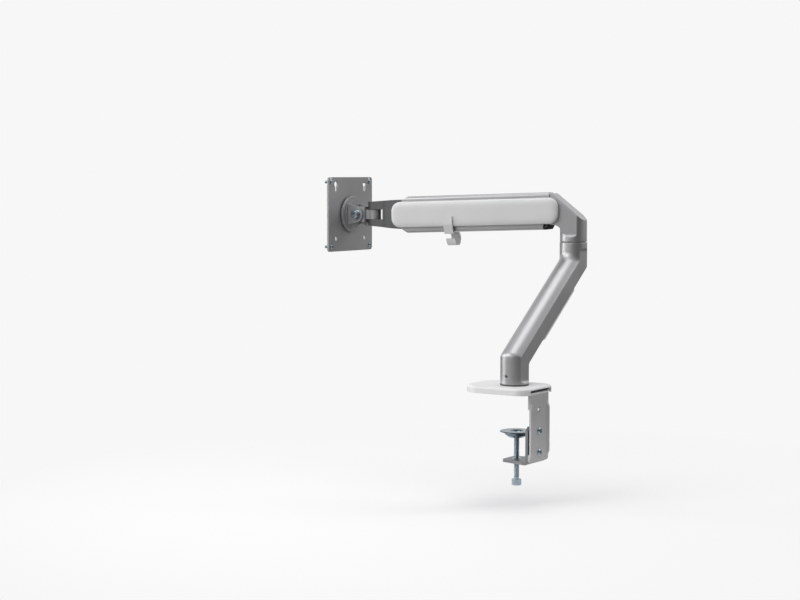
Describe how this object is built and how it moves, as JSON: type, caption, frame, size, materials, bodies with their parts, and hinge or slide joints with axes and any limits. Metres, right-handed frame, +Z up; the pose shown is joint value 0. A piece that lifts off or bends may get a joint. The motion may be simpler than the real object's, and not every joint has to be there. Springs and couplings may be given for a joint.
{
  "type": "monitor arm",
  "caption": "Desk-clamped monitor arm: cranked lower arm, spring-balanced parallel upper arm, and a head that pans, tilts and turns its screen plate.",
  "frame": {"origin": "where the base swivel axis meets the desk top, on the underside of the desk pad", "axes": "+Z up along the swivel axis; the desk's rear edge is parallel to X, the clamp is on its +Y side, and the screen faces -Y, towards its user"},
  "size_m": [0.2184, 0.4, 0.4395],
  "materials": {
    "silver_casting": "satin metallic paint",
    "dark_casting": "satin metallic paint",
    "dark_steel": "fine textured powder coat",
    "bracket_steel": "satin grey powder coat",
    "white_plastic": "satin moulded, slightly pearly",
    "zinc_steel": "bright zinc plate, bluish",
    "plain_steel": "turned",
    "black_plastic": "moulded",
    "grey_plastic": "moulded",
    "black_rubber": "soft foam rubber"
  },
  "bodies": {
    "base": {"base_cover": "white_plastic", "desk_pad": "black_rubber", "base_plate": "bracket_steel", "base_post": "plain_steel", "plate_rivets": "plain_steel", "clamp_bracket": "bracket_steel", "clamp_jaw": "bracket_steel", "jaw_screws": "zinc_steel", "clamp_nut": "zinc_steel"},
    "clamp_dish": {"pressure_dish": "zinc_steel"},
    "clamp_spindle": {"clamp_screw": "zinc_steel", "dish_clip": "plain_steel"},
    "lower_arm": {"lower_arm": "silver_casting", "foot_bush": "grey_plastic", "set_screw": "plain_steel", "elbow_post": "plain_steel", "elbow_washer": "grey_plastic", "lower_cable_cover": "white_plastic"},
    "elbow": {"elbow_knuckle": "silver_casting", "elbow_bush": "black_plastic", "elbow_pins": "plain_steel", "spring_anchor_pin": "plain_steel"},
    "top_link": {"top_link": "silver_casting", "side_cover_near": "white_plastic", "side_cover_far": "white_plastic", "side_cover_screws": "zinc_steel", "spring_block": "plain_steel", "lift_spring": "plain_steel"},
    "bottom_link": {"bottom_link": "silver_casting", "link_bumper": "black_plastic"},
    "carriage": {"spring_tie": "plain_steel", "spring_carriage": "plain_steel"},
    "seat": {"spring_seat": "plain_steel"},
    "adjuster": {"adjust_screw": "zinc_steel"},
    "clip": {"cable_clip": "white_plastic"},
    "wrist": {"wrist_fork": "dark_casting", "wrist_pins": "plain_steel", "pan_pin": "plain_steel", "pan_washers": "black_plastic"},
    "pan_head": {"pan_knuckle": "dark_casting"},
    "tilt_head": {"tilt_bracket": "dark_steel", "tilt_bolt": "zinc_steel", "tilt_washers": "zinc_steel", "tilt_nut": "zinc_steel", "turn_rivet": "plain_steel", "turn_washer": "black_plastic"},
    "plate": {"screen_plate": "dark_steel", "screen_screws": "zinc_steel"}
  },
  "joints": [
    {"name": "clamp_travel", "type": "slide", "parent": "base", "child": "clamp_dish", "axis": [0, 0, 1], "range_m": [-0.027, 0.024]},
    {"name": "clamp_turn", "type": "hinge", "parent": "clamp_dish", "child": "clamp_spindle", "pos_m": [0, 0.004, -0.1], "axis": [0, 0, 1], "range_deg": [-7780, 6916]},
    {"name": "base_swivel", "type": "hinge", "parent": "base", "child": "lower_arm", "pos_m": [0, 0, 0.02], "axis": [0, 0, 1], "range_deg": [-90, 90]},
    {"name": "elbow_swivel", "type": "hinge", "parent": "lower_arm", "child": "elbow", "pos_m": [-0.154, 0.00899, 0.21], "axis": [0, 0, 1], "range_deg": [-258, 42]},
    {"name": "arm_lift", "type": "hinge", "parent": "elbow", "child": "top_link", "pos_m": [-0.14341, -0.03166, 0.2748], "axis": [-0.9677, -0.2521, 0], "range_deg": [-30, 38]},
    {"name": "bottom_link_swing", "type": "hinge", "parent": "elbow", "child": "bottom_link", "pos_m": [-0.14341, -0.03166, 0.2363], "axis": [-0.9677, -0.2521, 0], "range_deg": [-30, 38]},
    {"name": "wrist_level", "type": "hinge", "parent": "top_link", "child": "wrist", "pos_m": [-0.08849, -0.2425, 0.26757], "axis": [-0.9677, -0.2521, 0], "range_deg": [-38, 30]},
    {"name": "spring_travel", "type": "slide", "parent": "top_link", "child": "carriage", "axis": [0.2519, -0.9672, -0.0332], "range_m": [-0.009, 0.0072], "deforming": ["lift_spring"]},
    {"name": "tension_turn", "type": "hinge", "parent": "top_link", "child": "adjuster", "pos_m": [-0.09691, -0.21017, 0.25567], "axis": [0.2519, -0.9672, -0.0332], "range_deg": [-6484, 0]},
    {"name": "tension_travel", "type": "slide", "parent": "top_link", "child": "seat", "axis": [0.2519, -0.9672, -0.0332], "range_m": [-0.018, 0]},
    {"name": "clip_slide", "type": "slide", "parent": "top_link", "child": "clip", "axis": [0.2519, -0.9672, -0.0332], "range_m": [-0.1, 0.06]},
    {"name": "head_pan", "type": "hinge", "parent": "wrist", "child": "pan_head", "pos_m": [-0.07419, -0.29739, 0.248], "axis": [0, 0, 1], "range_deg": [-60, 89]},
    {"name": "head_tilt", "type": "hinge", "parent": "pan_head", "child": "tilt_head", "pos_m": [-0.07419, -0.32099, 0.248], "axis": [1, 0, 0], "range_deg": [-35, 35]},
    {"name": "screen_turn", "type": "hinge", "parent": "tilt_head", "child": "plate", "pos_m": [-0.07419, -0.34399, 0.248], "axis": [0, 1, 0], "range_deg": [-90, 90]}
  ],
  "couplings": [
    {"joint": "clamp_turn", "follows": "clamp_travel", "rad_per_m": 5026.5},
    {"joint": "bottom_link_swing", "follows": "arm_lift", "ratio": 1},
    {"joint": "wrist_level", "follows": "arm_lift", "ratio": -1},
    {"joint": "spring_travel", "follows": "arm_lift", "m_per_rad": -0.013},
    {"joint": "tension_turn", "follows": "tension_travel", "rad_per_m": 6283.2}
  ]
}
